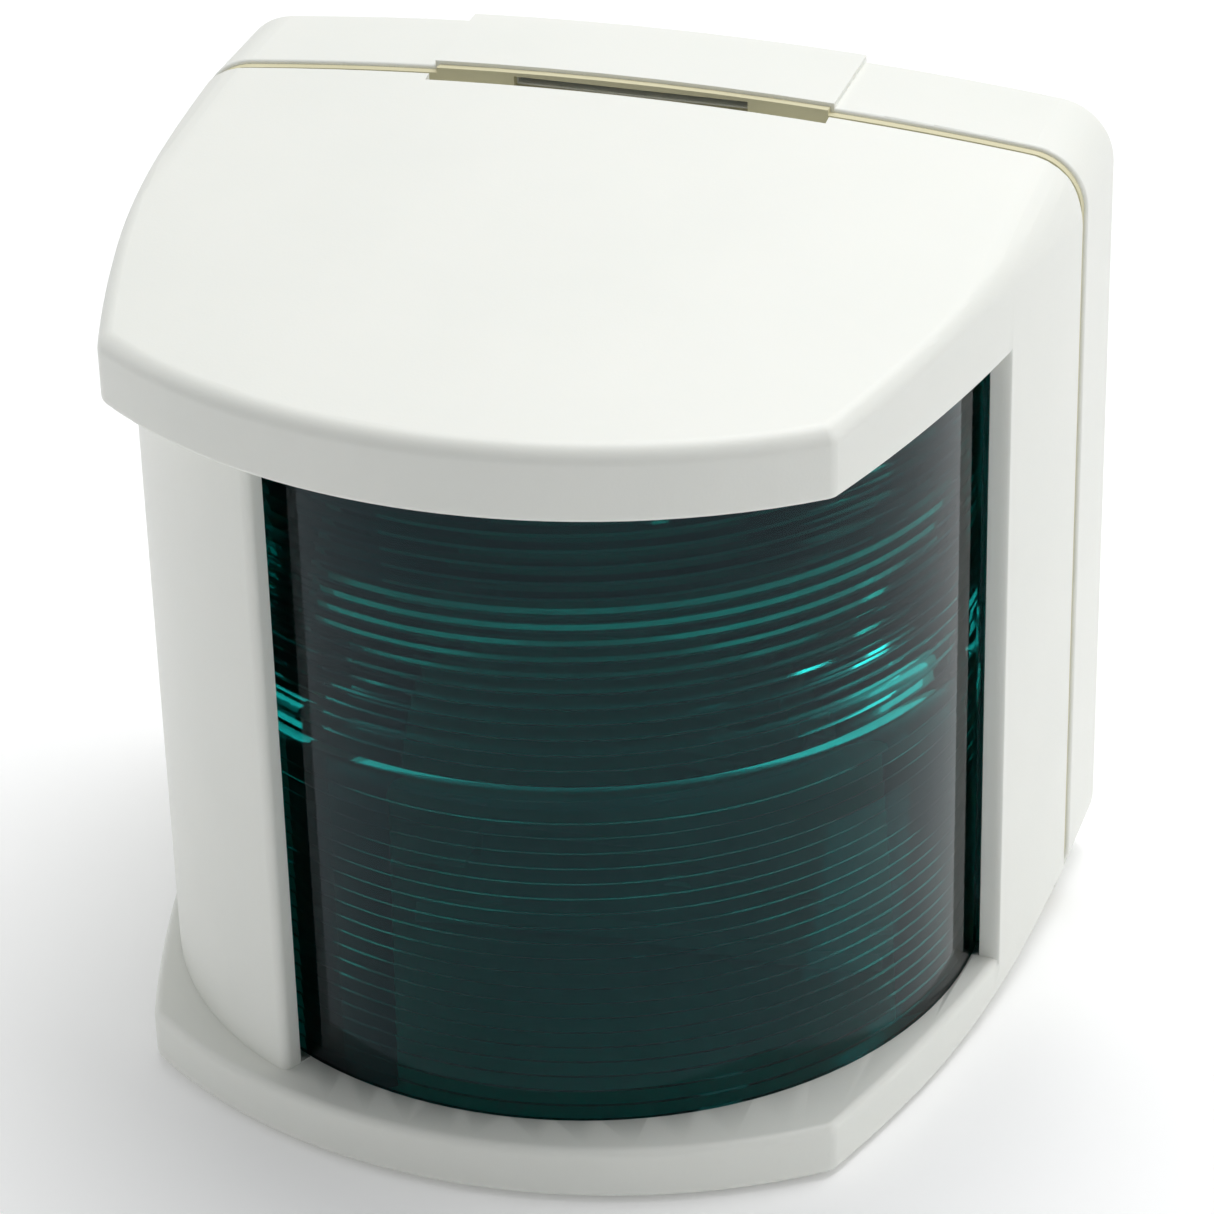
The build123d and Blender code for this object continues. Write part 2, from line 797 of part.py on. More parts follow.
def bulb_cap():
    """The bayonet cap with its two stepped pins."""
    x, y = lens_centre
    cap = upright(cap_radius, x, y, cap_low, cap_top)
    cap += along_y(bayonet_radius, x, y, y + bayonet_reach, pin_z)
    cap += along_y(bayonet_radius, x, y, y - bayonet_reach, pin_z - pin_step)
    return cap - upright(neck_radius, x, y, cap_low - overcut, neck_top)


def bulb_contacts():
    """The two soldered contacts on the cap."""
    return group([upright(contact_radius, x, y, cap_top, contact_z) for x, y in contact_points()])


def bulb_outline(shrink):
    """Half of the glass seen from the side, drawn in by a shrink."""
    top = neck_top - shrink
    neck = neck_radius - shrink
    bowl = glass_radius - shrink
    centre = focus_height - glass_drop
    tip = centre - bowl
    bend = neck_top - neck_length
    shoulder, flank = (
        (bowl * cos(radians(angle)), centre + bowl * sin(radians(angle)))
        for angle in (shoulder_angle, flank_angle)
    )
    return make_face(
        [
            Line((0, tip), (0, top)),
            Line((0, top), (neck, top)),
            Line((neck, top), (neck, bend)),
            Line((neck, bend), shoulder),
            ThreePointArc(shoulder, flank, (0, tip)),
        ]
    )


def bulb_glass():
    """The clear envelope, hollow."""
    outer = revolve(Plane.XZ * bulb_outline(0), Axis.Z)
    inner = revolve(Plane.XZ * bulb_outline(glass_thickness), Axis.Z)
    return Pos(*lens_centre, 0) * (outer - inner)


def bulb_stem():
    """The glass stem and the two support wires."""
    x, y = lens_centre
    top = neck_top - glass_thickness
    foot = top - stem_length
    tie_z = (foot - wire_rise, foot - wire_rise + tie_height)
    stem = upright(stem_radius, x, y, foot, top)
    for side in (-1, 1):
        near, far = x + side * inner_wire, x + side * outer_wire
        stem += upright(wire_radius, near, y, foot - wire_rise, foot + wire_rise)
        stem += upright(wire_radius, far, y, focus_height, foot + wire_rise)
        stem += block((near, far), around(y, wire_radius), tie_z)
    return stem


def bulb_filament():
    """The filament between the two wires."""
    x, y = lens_centre
    return along_x(filament_radius, *around(x, filament_half), y, focus_height)


PARTS = {
    "mounting_base": mounting_base,
    "wall_gasket": gasket_ring,
    "housing_seal": housing_seal,
    "hinge_pins": hinge_pins,
    "latch_tongue": latch_tongue,
    "front_shroud": front_shroud,
    "lens": lens,
    "lens_seals": lens_seals,
    "sector_screen_aft": lambda: sector_screen(*aft_screen),
    "sector_screen_ahead": lambda: sector_screen(*ahead_screen),
    "screen_screws": screen_screws,
    "cable_grommet": cable_grommet,
    "socket_bracket": socket_bracket,
    "bracket_screws": bracket_screws,
    "socket_shell": socket_shell,
    "socket_insulator": socket_insulator,
    "contact_plungers": contact_plungers,
    "plunger_springs": plunger_springs,
    "feed_strips": feed_strips,
    "terminal_block": terminal_block,
    "terminal_screws": terminal_screws,
    "bulb_cap": bulb_cap,
    "bulb_contacts": bulb_contacts,
    "bulb_glass": bulb_glass,
    "bulb_stem": bulb_stem,
    "bulb_filament": bulb_filament,
}

os.makedirs("parts", exist_ok=True)
for name, make in PARTS.items():
    export_step(make(), f"parts/{name}.step")
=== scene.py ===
"""Looks of a starboard side light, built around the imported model.

Lengths inside the classes are millimetres, in the model's own frame: the origin is the middle of
the face that bears on the wall, +X is ahead, -Y is out from the wall and +Z is up.
Meshes are turned to metres when they are finished.
"""

from __future__ import annotations

import json
import logging
import math
from dataclasses import dataclass
from enum import Enum

import bmesh
import bpy
from mathutils import Matrix, Vector


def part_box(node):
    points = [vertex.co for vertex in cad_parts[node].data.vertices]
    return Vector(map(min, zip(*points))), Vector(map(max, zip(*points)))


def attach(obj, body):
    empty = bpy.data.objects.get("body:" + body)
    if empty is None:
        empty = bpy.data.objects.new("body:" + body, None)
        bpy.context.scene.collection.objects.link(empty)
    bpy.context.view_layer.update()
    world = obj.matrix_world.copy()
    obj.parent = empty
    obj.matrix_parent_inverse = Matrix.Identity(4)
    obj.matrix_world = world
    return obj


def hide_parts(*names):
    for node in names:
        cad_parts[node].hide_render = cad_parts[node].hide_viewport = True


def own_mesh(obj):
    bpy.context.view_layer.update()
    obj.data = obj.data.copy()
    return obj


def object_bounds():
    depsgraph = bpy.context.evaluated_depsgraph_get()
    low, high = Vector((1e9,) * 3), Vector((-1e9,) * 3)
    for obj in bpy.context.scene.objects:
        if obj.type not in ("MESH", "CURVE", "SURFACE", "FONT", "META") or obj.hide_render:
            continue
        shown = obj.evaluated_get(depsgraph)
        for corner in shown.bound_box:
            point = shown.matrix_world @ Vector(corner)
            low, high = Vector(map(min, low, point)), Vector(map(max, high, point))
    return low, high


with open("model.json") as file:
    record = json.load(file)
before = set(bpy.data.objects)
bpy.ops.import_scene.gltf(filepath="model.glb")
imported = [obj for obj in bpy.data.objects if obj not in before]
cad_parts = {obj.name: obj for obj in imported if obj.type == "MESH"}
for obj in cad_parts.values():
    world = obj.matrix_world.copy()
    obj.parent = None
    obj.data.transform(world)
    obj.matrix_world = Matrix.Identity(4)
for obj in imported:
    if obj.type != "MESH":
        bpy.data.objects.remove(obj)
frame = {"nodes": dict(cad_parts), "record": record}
CAD_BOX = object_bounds()

LOG = logging.getLogger("side_light")
MM = 0.001
LENS_AXIS = (0.9, -36.9)


class Slot(Enum):
    """The record's material slots."""

    HOUSING = "white_housing"
    SEAL = "cream_seal"
    RUBBER = "black_rubber"
    LENS = "green_lens"
    SCREEN = "black_screen"
    STEEL = "stainless"
    BRASS = "brass"
    NICKEL = "nickel"
    PHENOLIC = "brown_insulator"
    GREY = "grey_plastic"
    GLASS = "clear_glass"
    TUNGSTEN = "tungsten"


class Body(Enum):
    """The bodies that pieces ride on."""

    BASE = "base"
    SHROUD = "shroud"
    LATCH = "latch"
    BULB = "bulb"
    CONTACTS = "contacts"


class NodeSheet:
    """A material's nodes, with short calls to add and join them."""

    def __init__(self, name: str) -> None:
        """Starts a material with a Principled shader.

        Args:
            name: The material's name.
        """
        self.material = bpy.data.materials.new(name)
        self.material.use_nodes = True
        self.tree = self.material.node_tree
        self.shader = self.tree.nodes["Principled BSDF"]
        self.coords = self.tree.nodes.new("ShaderNodeTexCoord").outputs["Object"]

    def add(self, kind: str, **settings: object) -> bpy.types.Node:
        """Adds a node and sets its properties.

        Args:
            kind: The node's type name.
            **settings: Properties of the node.

        Returns:
            The new node.
        """
        node = self.tree.nodes.new(kind)
        for key, value in settings.items():
            setattr(node, key, value)
        return node

    def link(self, source: bpy.types.NodeSocket, target: bpy.types.NodeSocket) -> None:
        """Joins an output socket to an input socket."""
        self.tree.links.new(source, target)

    def stretched(self, scale: tuple[float, float, float]) -> bpy.types.NodeSocket:
        """Scales the object coordinates, for grain with a direction.

        Args:
            scale: The factor along each axis.

        Returns:
            The scaled coordinates.
        """
        mapping = self.add("ShaderNodeMapping")
        mapping.inputs["Scale"].default_value = scale
        self.link(self.coords, mapping.inputs["Vector"])
        return mapping.outputs["Vector"]

    def noise(
        self, size: float, detail: float = 3.0, coords: bpy.types.NodeSocket | None = None
    ) -> bpy.types.NodeSocket:
        """A noise pattern.

        Args:
            size: Size of the pattern's features, in metres.
            detail: How many finer layers it has.
            coords: Coordinates to use instead of the object's own.

        Returns:
            The noise's value, from 0 to 1.
        """
        node = self.add("ShaderNodeTexNoise")
        node.inputs["Scale"].default_value = 1 / size
        node.inputs["Detail"].default_value = detail
        self.link(coords or self.coords, node.inputs["Vector"])
        return node.outputs["Fac"]

    def span(
        self, value: bpy.types.NodeSocket, low: float, high: float, start: float = 0.3, stop: float = 0.7
    ) -> bpy.types.NodeSocket:
        """Spreads a value between two limits.

        Args:
            value: The socket to spread.
            low: What the start becomes.
            high: What the stop becomes.
            start: The value that gives the low limit.
            stop: The value that gives the high limit.

        Returns:
            The spread value.
        """
        node = self.add("ShaderNodeMapRange")
        for key, number in zip(("From Min", "From Max", "To Min", "To Max"), (start, stop, low, high)):
            node.inputs[key].default_value = number
        self.link(value, node.inputs["Value"])
        return node.outputs["Result"]

    def blend(
        self, factor: bpy.types.NodeSocket, first: Colour, second: Colour
    ) -> bpy.types.NodeSocket:
        """A colour between two others.

        Args:
            factor: Share of the second colour.
            first: The first colour.
            second: The second colour.

        Returns:
            The blended colour.
        """
        node = self.add("ShaderNodeMix", data_type="RGBA")
        node.inputs["A"].default_value = (*first, 1)
        node.inputs["B"].default_value = (*second, 1)
        self.link(factor, node.inputs["Factor"])
        return node.outputs["Result"]

    def bump(
        self,
        height: bpy.types.NodeSocket,
        relief: float,
        strength: float = 1.0,
        under: bpy.types.NodeSocket | None = None,
    ) -> bpy.types.NodeSocket:
        """A bumped normal.

        Args:
            height: The pattern, from 0 to 1.
            relief: How high 1 stands, in metres.
            strength: How strongly it shows.
            under: A normal to lay it over.

        Returns:
            The normal.
        """
        node = self.add("ShaderNodeBump")
        node.inputs["Distance"].default_value = relief
        node.inputs["Strength"].default_value = strength
        self.link(height, node.inputs["Height"])
        if under is not None:
            self.link(under, node.inputs["Normal"])
        return node.outputs["Normal"]

    def put(self, **values: object) -> None:
        """Sets the shader's inputs.

        Args:
            **values: A constant or a socket for each input, named with _ for spaces.
        """
        for key, value in values.items():
            socket = self.shader.inputs[key.replace("_", " ")]
            if isinstance(value, bpy.types.NodeSocket):
                self.link(value, socket)
            else:
                socket.default_value = value


Colour = tuple[float, float, float]


@dataclass(frozen=True)
class Moulded:
    """Moulded plastic or rubber with a fine spark grain and a faint mottle."""

    name: str
    colour: Colour
    mottle: Colour
    roughness: float
    grain: float = 0.00035
    relief: float = 0.00002
    scatter: float = 0.0
    mottle_size: float = 0.018
    ripple_size: float = 0.006
    ripple_relief: float = 0.00004

    def material(self) -> bpy.types.Material:
        """Builds the material."""
        sheet = NodeSheet(self.name)
        broad = sheet.noise(self.mottle_size, 4.0)
        fine = sheet.noise(self.grain, 2.0)
        ripple = sheet.noise(self.ripple_size, 2.0)
        uneven = sheet.bump(ripple, self.ripple_relief, 0.35)
        sheet.put(
            Base_Color=sheet.blend(sheet.span(broad, 0, 1), self.colour, self.mottle),
            Roughness=sheet.span(fine, self.roughness - 0.04, self.roughness + 0.06),
            Normal=sheet.bump(fine, self.relief, 0.5, uneven),
            Subsurface_Weight=self.scatter,
            Subsurface_Radius=(1.0, 0.9, 0.8),
            Subsurface_Scale=0.0015,
            IOR=1.5,
        )
        return sheet.material


@dataclass(frozen=True)
class Tinted:
    """Clear or tinted plastic or glass."""

    name: str
    colour: Colour
    streak: Colour
    roughness: float
    ior: float
    # Colour laid over the reflections; anything but white is painted reflection.
    painted_reflection_tint: Colour = (1.0, 1.0, 1.0)
    haze_size: float = 0.012
    wave_size: float = 0.02
    wave_relief: float = 0.00003

    def material(self) -> bpy.types.Material:
        """Builds the material."""
        sheet = NodeSheet(self.name)
        haze = sheet.noise(self.haze_size, 4.0)
        wave = sheet.noise(self.wave_size, 1.0)
        sheet.put(
            Base_Color=sheet.blend(sheet.span(haze, 0, 1), self.colour, self.streak),
            Roughness=sheet.span(haze, self.roughness, self.roughness + 0.03),
            Normal=sheet.bump(wave, self.wave_relief, 0.2),
            Transmission_Weight=1.0,
            IOR=self.ior,
            # The specular tint colours the reflections: painted reflection where it is not white.
            Specular_Tint=(*self.painted_reflection_tint, 1),
        )
        return sheet.material


@dataclass(frozen=True)
class Metal:
    """Turned, drawn or plated metal with fine lines along one axis."""

    name: str
    colour: Colour
    tarnish: Colour
    roughness: float
    lines: tuple[float, float, float] = (1.0, 1.0, 12.0)
    line_size: float = 0.0008
    line_relief: float = 0.00001
    dull_size: float = 0.004

    def material(self) -> bpy.types.Material:
        """Builds the material."""
        sheet = NodeSheet(self.name)
        drawn = sheet.noise(self.line_size, 3.0, sheet.stretched(self.lines))
        dull = sheet.noise(self.dull_size, 4.0)
        sheet.put(
            Base_Color=sheet.blend(sheet.span(dull, 0, 1, 0.45, 0.75), self.colour, self.tarnish),
            Roughness=sheet.span(drawn, self.roughness - 0.06, self.roughness + 0.12),
            Normal=sheet.bump(drawn, self.line_relief, 0.4),
            Metallic=1.0,
        )
        return sheet.material


FINISHES: dict[Slot, Moulded | Tinted | Metal] = {
    Slot.HOUSING: Moulded("white_moulding", (0.83, 0.838, 0.79), (0.81, 0.822, 0.775), 0.42, scatter=0.12),
    # The seal is a modelled gasket; its cream colour also paints the warm light bounced into the shadow gap
    # between base and shroud.
    Slot.SEAL: Moulded("seal_cream_and_painted_groove_light", (0.66, 0.62, 0.42), (0.59, 0.55, 0.36), 0.6),
    Slot.RUBBER: Moulded("black_rubber", (0.022, 0.022, 0.024), (0.035, 0.034, 0.033), 0.62, 0.0005),
    # The lens's blue-grey reflection tint is painted reflection: it dims and colours its sheen to stand for
    # a darker, bluish surround.
    Slot.LENS: Tinted("green_lens", (0.008, 0.36, 0.335), (0.006, 0.32, 0.3), 0.02, 1.49, (0.3, 0.47, 0.55)),
    Slot.SCREEN: Moulded("matt_black", (0.012, 0.012, 0.013), (0.02, 0.02, 0.02), 0.7, 0.0004),
    Slot.STEEL: Metal("stainless", (0.62, 0.62, 0.61), (0.5, 0.5, 0.49), 0.24),
    Slot.BRASS: Metal("brass", (0.78, 0.57, 0.26), (0.55, 0.38, 0.17), 0.27),
    Slot.NICKEL: Metal("nickel_plate", (0.72, 0.70, 0.66), (0.6, 0.57, 0.5), 0.2),
    Slot.PHENOLIC: Moulded("phenolic", (0.11, 0.05, 0.028), (0.16, 0.075, 0.04), 0.38),
    Slot.GREY: Moulded("grey_moulding", (0.30, 0.31, 0.32), (0.26, 0.27, 0.28), 0.45),
    Slot.GLASS: Tinted("clear_glass", (0.97, 0.985, 0.98), (0.95, 0.97, 0.965), 0.0, 1.5),
    Slot.TUNGSTEN: Metal("tungsten", (0.28, 0.28, 0.29), (0.2, 0.2, 0.21), 0.4),
}


class PaintBox:
    """Makes each finish's material once."""

    def __init__(self) -> None:
        """Starts empty."""
        self.made: dict[Slot, bpy.types.Material] = {}

    def get(self, slot: Slot) -> bpy.types.Material:
        """The material of a slot."""
        if slot not in self.made:
            self.made[slot] = FINISHES[slot].material()
        return self.made[slot]


PAINT = PaintBox()


def finished(name: str, bm: bmesh.types.BMesh, crease: float = 30.0) -> bpy.types.Object:
    """Turns a bmesh in millimetres into an object in metres.

    Args:
        name: The object's name.
        bm: The mesh, which is freed.
        crease: Edges sharper than this, in degrees, stay sharp.

    Returns:
        The object, at the origin.
    """
    bmesh.ops.recalc_face_normals(bm, faces=bm.faces)
    bmesh.ops.scale(bm, vec=(MM, MM, MM), verts=bm.verts)
    mesh = bpy.data.meshes.new(name)
    bm.to_mesh(mesh)
    bm.free()
    return shown(name, mesh, crease)


def shown(name: str, mesh: bpy.types.Mesh, crease: float = 30.0) -> bpy.types.Object:
    """Links a mesh to the scene, smooth but for its sharp edges.

    Args:
        name: The object's name.
        mesh: The mesh, in metres.
        crease: Edges sharper than this, in degrees, stay sharp.

    Returns:
        The object.
    """
    mesh.shade_smooth()
    mesh.set_sharp_from_angle(angle=math.radians(crease))
    obj = bpy.data.objects.new(name, mesh)
    bpy.context.scene.collection.objects.link(obj)
    return obj


def even_normals(obj: bpy.types.Object) -> None:
    """Lets large faces set the shading, so that flats stay flat beside rounded edges."""
    modifier = obj.modifiers.new("even_normals", "WEIGHTED_NORMAL")
    modifier.keep_sharp = True
    modifier.weight = 70


def dress(obj: bpy.types.Object, slot: Slot, body: Body, *nodes: str) -> bpy.types.Object:
    """Gives a piece its finish, its body and the nodes it stands for.

    Args:
        obj: The piece.
        slot: The material slot.
        body: The body that it rides on.
        *nodes: The nodes that it replaces.

    Returns:
        The piece.
    """
    obj.data.materials.clear()
    obj.data.materials.append(PAINT.get(slot))
    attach(obj, body.value)
    if nodes:
        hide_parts(*nodes)
    LOG.info("%s: %d faces", obj.name, len(obj.data.polygons))
    return obj


def merged_copy(node: str) -> bpy.types.Object:
    """Copies a node and joins up its loose triangles.

    Args:
        node: The node's name.

    Returns:
        The copy.
    """
    bm = bmesh.new()
    bm.from_mesh(frame["nodes"][node].data)
    bmesh.ops.remove_doubles(bm, verts=bm.verts, dist=1e-7)
    mesh = bpy.data.meshes.new(node + "_copy")
    bm.to_mesh(mesh)
    bm.free()
    return shown(node + "_copy", mesh)


class Cut(Enum):
    """How two solids are put together."""

    JOIN = "UNION"
    KEEP = "INTERSECT"
    TAKE = "DIFFERENCE"


def combine(first: bpy.types.Object, second: bpy.types.Object, how: Cut) -> bpy.types.Object:
    """Combines two solids into a new one and removes both.

    Args:
        first: The solid to change.
        second: The solid to join, keep or take away.
        how: What to do.

    Returns:
        The new object, with the first one's name.
    """
    modifier = first.modifiers.new("combine", "BOOLEAN")
    modifier.operation = how.value
    modifier.solver = "EXACT"
    modifier.object = second
    graph = bpy.context.evaluated_depsgraph_get()
    mesh = bpy.data.meshes.new_from_object(first.evaluated_get(graph))
    name = first.name
    bpy.data.objects.remove(first)
    bpy.data.objects.remove(second)
    made = shown(name, mesh)
    made.name = name
    return made


@dataclass
class Casing:
    """The outline that base and shroud share."""

    half_width: float = CAD_BOX[1].x / MM
    crest: float = 50.0
    crown: float = 3.2
    corner: float = 7.0
    shroud_back: float = 16.0
    slope: float = 0.0987
    front_half: float = 40.1
    front_depth: float = 74.2
    front_bow: float = 13.8
    side_bow: float = 2.2

    def __post_init__(self) -> None:
        """Works out the crown's arc and where the corner arc meets it."""
        self.crown_radius = (self.half_width**2 + self.crown**2) / (2 * self.crown)
        self.corner_x = self.half_width - self.corner
        centre = self.crest - self.crown_radius
        self.corner_z = centre + math.sqrt((self.crown_radius - self.corner) ** 2 - self.corner_x**2)
        self.tangent_x = self.corner_x * self.crown_radius / (self.crown_radius - self.corner)

    def top(self, x: float, y: float) -> float:
        """Height of the hood's top.

        Args:
            x: Place in plan, along the width.
            y: Place in plan, out from the wall.

        Returns:
            The height.
        """
        fall = self.slope * (-y - self.shroud_back)
        x = min(abs(x), self.half_width)
        if x < self.tangent_x:
            return self.crest - self.crown_radius + math.sqrt(self.crown_radius**2 - x**2) - fall
        return self.corner_z + math.sqrt(max(self.corner**2 - (x - self.corner_x) ** 2, 0)) - fall

    def under(self, x: float) -> float:
        """Height of the lower plate's underside, at a place along the width."""
        past = min(max(abs(x) - self.corner_x, 0), self.corner)
        return -self.crest + self.corner - math.sqrt(self.corner**2 - past**2)

    def slices(self) -> list[float]:
        """Where the crowned top is cut lengthwise, so that it bends smoothly."""
        flat = [self.corner_x * i / 9 for i in range(-9, 10)]
        turn = [self.corner_x + self.corner * math.sin(math.radians(a)) for a in range(12, 85, 12)]
        return flat + turn + [-x for x in turn]


def bow_edge(bm: bmesh.types.BMesh, edge: bmesh.types.BMEdge, bow: float, cuts: int) -> None:
    """Bends a flat face's edge outwards into an arc.

    Args:
        bm: The mesh.
        edge: The edge, with one face.
        bow: How far the arc's middle stands out.
        cuts: How many points the arc gets.
    """
    start, end = (v.co.copy() for v in edge.verts)
    middle = (start + end) / 2
    outward = middle - edge.link_faces[0].calc_center_median()
    run = (end - start).normalized()
    outward = (outward - run * outward.dot(run)).normalized()
    half = (end - start).length / 2
    radius = (half**2 + bow**2) / (2 * bow)
    made = bmesh.ops.subdivide_edges(bm, edges=[edge], cuts=cuts)
    for vert in made["geom_inner"]:
        if isinstance(vert, bmesh.types.BMVert):
            along = (vert.co - middle).dot(run)
            vert.co += outward * (math.sqrt(radius**2 - along**2) - radius + bow)


@dataclass
class PlanBlock:
    """A block with the shroud's plan, shaped top and underside, and rounded edges."""

    casing: Casing
    skin: float = 0.06
    left_corner: float = 3.0
    right_corner: float = 2.0
    tail: float = 10.0
    thinnest: float = 0.05
    bow_cuts: int = 29
    corner_steps: int = 6
    edge_steps: int = 7

    def plan(self, bm: bmesh.types.BMesh) -> bmesh.types.BMFace:
        """Draws the plan.

        Args:
            bm: An empty mesh.

        Returns:
            The plan, one flat face.
        """
        c = self.casing
        half, front = c.half_width - self.skin, -c.front_depth + self.skin
        back = -c.shroud_back
        corners = [(-half, back), (-c.front_half, front), (c.front_half, front), (half, back),
                   (half, back + self.tail), (-half, back + self.tail)]
        verts = [bm.verts.new((x, y, 0)) for x, y in corners]
        face = bm.faces.new(verts)
        sides = [bm.edges.get(verts[i : i + 2]) for i in range(3)]
        for edge, bow in zip(sides, (c.side_bow, c.front_bow, c.side_bow)):
            bow_edge(bm, edge, bow - self.skin, self.bow_cuts)
        for place, radius in ((corners[1], self.left_corner), (corners[2], self.right_corner)):
            vert = min(bm.verts, key=lambda v: (v.co.xy - Vector(place)).length)
            bmesh.ops.bevel(bm, geom=[vert], offset=radius * math.tan(self.turn_at(vert) / 2),
                            segments=self.corner_steps, profile=0.5, affect="VERTICES", material=-1)
        return bm.faces[:][0]

    @staticmethod
    def turn_at(vert: bmesh.types.BMVert) -> float:
        """How far the outline turns at a point, in radians."""
        one, two = (edge.other_vert(vert).co - vert.co for edge in vert.link_edges)
        return math.pi - one.angle(two)

    def solid(
        self, low: float | None, high: float | None, top_round: float, low_round: float
    ) -> bmesh.types.BMesh:
        """Builds the block.

        Args:
            low: Height of its flat underside, or None for the casing's own underside.
            high: Height of its flat top, or None for the casing's crowned top.
            top_round: Radius of the upper edges.
            low_round: Radius of the lower edges.

        Returns:
            The closed mesh.
        """
        bm = bmesh.new()
        upper_face = self.plan(bm)
        inset = bm.verts.layers.float.new("inset")
        upper = bm.verts.layers.float.new("upper")
        made = bmesh.ops.extrude_face_region(bm, geom=[upper_face])["geom"]
        for vert in made:
            if isinstance(vert, bmesh.types.BMVert):
                vert[upper] = 1.0
                vert.co.z = 1.0
        bm.faces.ensure_lookup_table()
        caps = {}
        for face in bm.faces:
            height = face.calc_center_median().z
            if abs(height - round(height)) < 0.1 and len(face.verts) > 4:
                caps[face.verts[0][upper]] = face
        for level, radius in ((1.0, top_round), (0.0, low_round)):
            self.round_in(bm, caps[level], inset, radius)
        for x in self.casing.slices():
            bmesh.ops.bisect_plane(bm, geom=bm.verts[:] + bm.edges[:] + bm.faces[:], dist=1e-5,
                                   plane_co=(x, 0, 0), plane_no=(1, 0, 0))
        for vert in bm.verts:
            x, y, _ = vert.co
            roof = (self.casing.top(x, y) if high is None else high) - self.skin
            ground = (self.casing.under(x) if low is None else low) + self.skin
            roof -= self.drop(vert[inset], top_round)
            ground += self.drop(vert[inset], low_round)
            vert.co.z = roof if vert[upper] > 0.5 else min(ground, roof - self.thinnest)
        return bm

    @staticmethod
    def drop(inset: float, radius: float) -> float:
        """How far a rounded edge falls.

        Args:
            inset: Distance in from the side.
            radius: The edge's radius.

        Returns:
            The fall.
        """
        if inset >= radius:
            return 0.0
        return radius - math.sqrt(max(radius**2 - (radius - inset) ** 2, 0))

    def round_in(
        self, bm: bmesh.types.BMesh, face: bmesh.types.BMFace, layer: object, radius: float
    ) -> None:
        """Draws loops inside a face for a rounded edge, and notes how far in each one lies.

        Args:
            bm: The mesh.
            face: The face.
            layer: The layer of the points that takes the distance.
            radius: The edge's radius.
        """
        reached = 0.0
        for i in range(1, self.edge_steps + 1):
            wanted = radius * (1 - math.cos(math.pi / 2 * i / self.edge_steps))
            bmesh.ops.inset_region(bm, faces=[face], thickness=wanted - reached,
                                   use_boundary=True, use_even_offset=True)
            reached = wanted
            for vert in face.verts:
                vert[layer] = wanted


